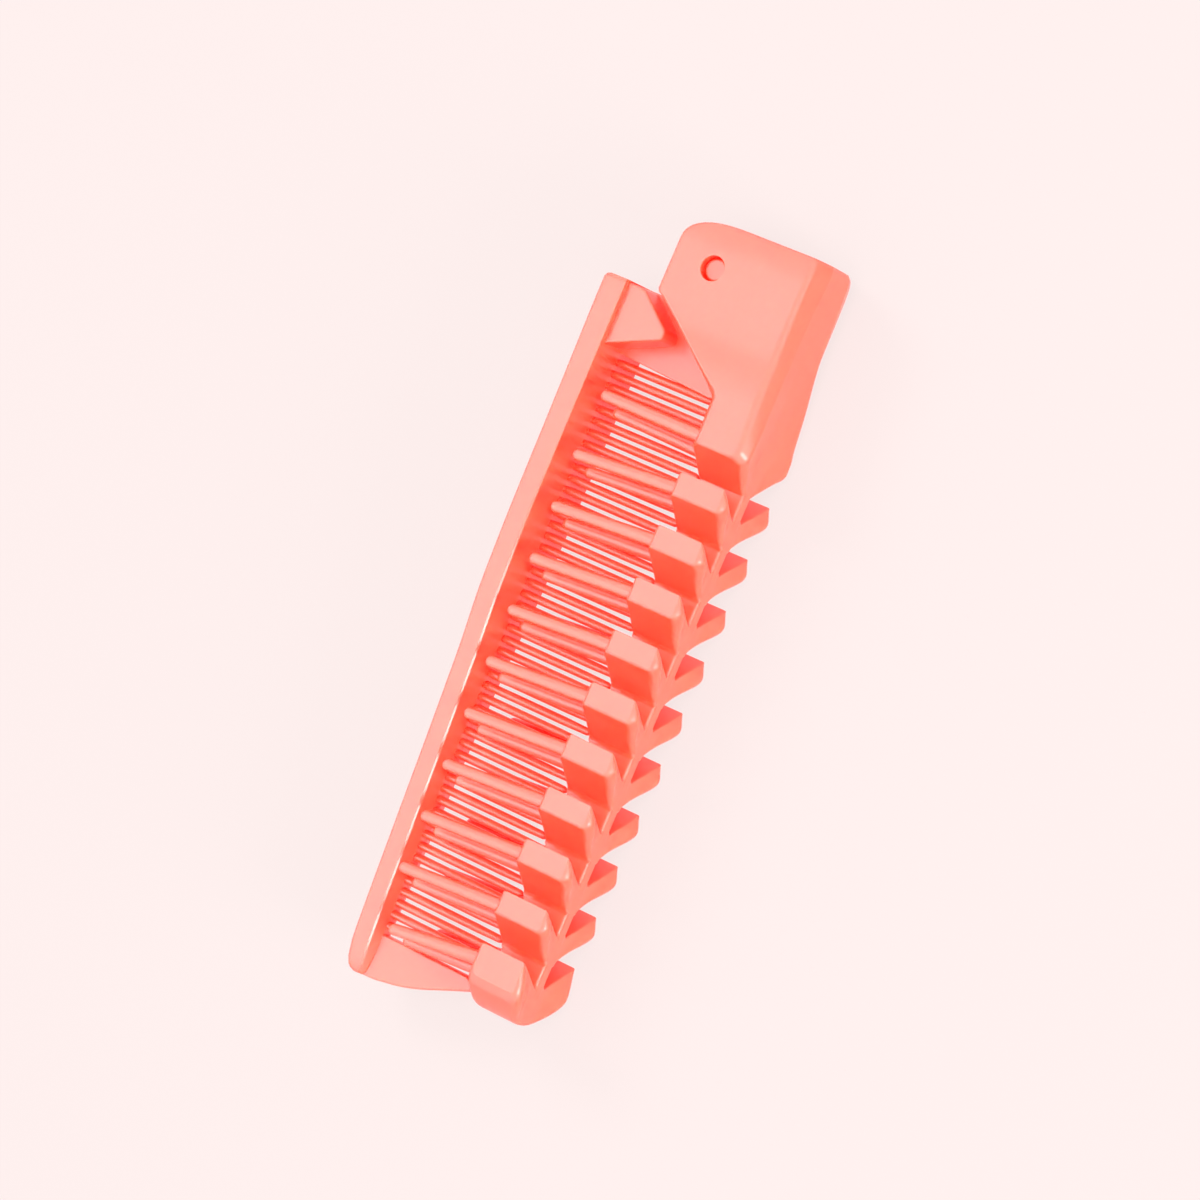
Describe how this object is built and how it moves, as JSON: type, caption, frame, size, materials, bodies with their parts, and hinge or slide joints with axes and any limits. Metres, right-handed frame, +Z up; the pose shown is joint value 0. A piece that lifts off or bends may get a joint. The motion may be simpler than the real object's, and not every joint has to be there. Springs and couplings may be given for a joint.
{
  "type": "folding comb",
  "caption": "Folding pocket comb in glossy coral plastic: a fine-tooth comb hinged at one end of a vent brush with swept ribs and pin bristles.",
  "frame": {"origin": "middle of the closed comb's bounding box, at the level of the surface that it lies on", "axes": "+X from the hinge to the tip, +Y from the comb's spine to the brush's ribbed back, +Z up and across the ribs"},
  "size_m": [0.135, 0.0362, 0.0195],
  "materials": {
    "brush_plastic": "gloss",
    "comb_plastic": "gloss",
    "pin_plastic": "gloss"
  },
  "bodies": {
    "brush": {"brush": "brush_plastic", "pivot_pin": "pin_plastic"},
    "comb": {"comb": "comb_plastic"}
  },
  "joints": [
    {"name": "fold", "type": "hinge", "parent": "brush", "child": "comb", "pos_m": [-0.05995, -0.00055, 0.00976], "axis": [0, 0, -1], "range_deg": [0, 170]}
  ]
}
